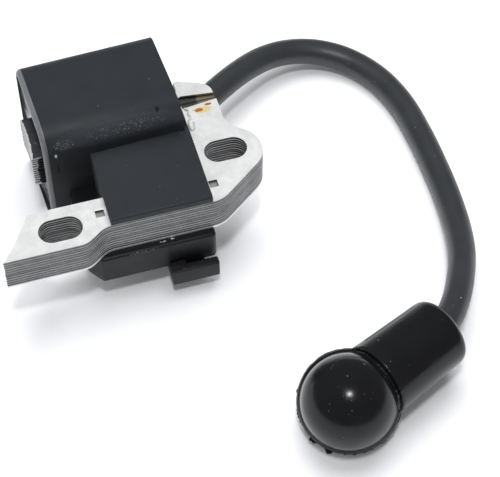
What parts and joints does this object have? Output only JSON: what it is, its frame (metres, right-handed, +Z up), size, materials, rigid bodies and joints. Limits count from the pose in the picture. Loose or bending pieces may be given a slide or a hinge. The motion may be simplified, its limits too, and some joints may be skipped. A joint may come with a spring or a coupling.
{
  "type": "ignition coil",
  "caption": "Ignition coil for a small two-stroke engine: laminated two-pole core with slotted ears, potted black coil case, and a high-tension lead ending in an elbow plug boot.",
  "frame": {"origin": "middle of the module's footprint, on the surface that the coil case stands on, without the lead and boot", "axes": "+Y along the slots, away from the flywheel; +X towards the bare front leg; +Z up, out of the top lamination"},
  "size_m": [0.095, 0.0891, 0.0281],
  "materials": {
    "core_steel": "stamped electrical steel, satin",
    "case_plastic": "black moulded plastic, fine texture",
    "resin": "black potting resin, glossy",
    "bobbin_plastic": "natural moulded plastic",
    "copper_wire": "enamelled copper wire, wound",
    "cover_plastic": "black plastic, satin",
    "board": "glass-epoxy board",
    "component_body": "moulded component bodies",
    "clip_plastic": "black plastic, rough",
    "tinned_wire": "tinned wire",
    "terminal_brass": "brass",
    "lead_rubber": "black rubber, satin",
    "boot_rubber": "black moulded rubber, semi-gloss",
    "spring_steel": "spring wire"
  },
  "bodies": {
    "root": {"frame_lamination_01": "core_steel", "frame_lamination_02": "core_steel", "frame_lamination_03": "core_steel", "frame_lamination_04": "core_steel", "frame_lamination_05": "core_steel", "frame_lamination_06": "core_steel", "frame_lamination_07": "core_steel", "frame_lamination_08": "core_steel", "frame_lamination_09": "core_steel", "frame_lamination_10": "core_steel", "frame_lamination_11": "core_steel", "frame_lamination_12": "core_steel", "coil_leg_lamination_01": "core_steel", "coil_leg_lamination_02": "core_steel", "coil_leg_lamination_03": "core_steel", "coil_leg_lamination_04": "core_steel", "coil_leg_lamination_05": "core_steel", "coil_leg_lamination_06": "core_steel", "coil_leg_lamination_07": "core_steel", "coil_leg_lamination_08": "core_steel", "coil_leg_lamination_09": "core_steel", "coil_leg_lamination_10": "core_steel", "coil_leg_lamination_11": "core_steel", "coil_leg_lamination_12": "core_steel", "coil_case": "case_plastic", "potting_resin": "resin", "primary_bobbin": "bobbin_plastic", "secondary_bobbin": "bobbin_plastic", "primary_winding": "copper_wire", "secondary_winding": "copper_wire", "trigger_case": "case_plastic", "trigger_cover": "cover_plastic", "circuit_board": "board", "charge_capacitor": "component_body", "thyristor": "component_body", "diodes": "component_body", "wire_clip": "clip_plastic", "ground_wire": "tinned_wire", "lead_gland": "case_plastic", "lead_terminal": "terminal_brass", "ht_lead": "lead_rubber", "plug_boot": "boot_rubber", "lead_contact": "terminal_brass", "plug_spring": "spring_steel"}
  },
  "joints": []
}
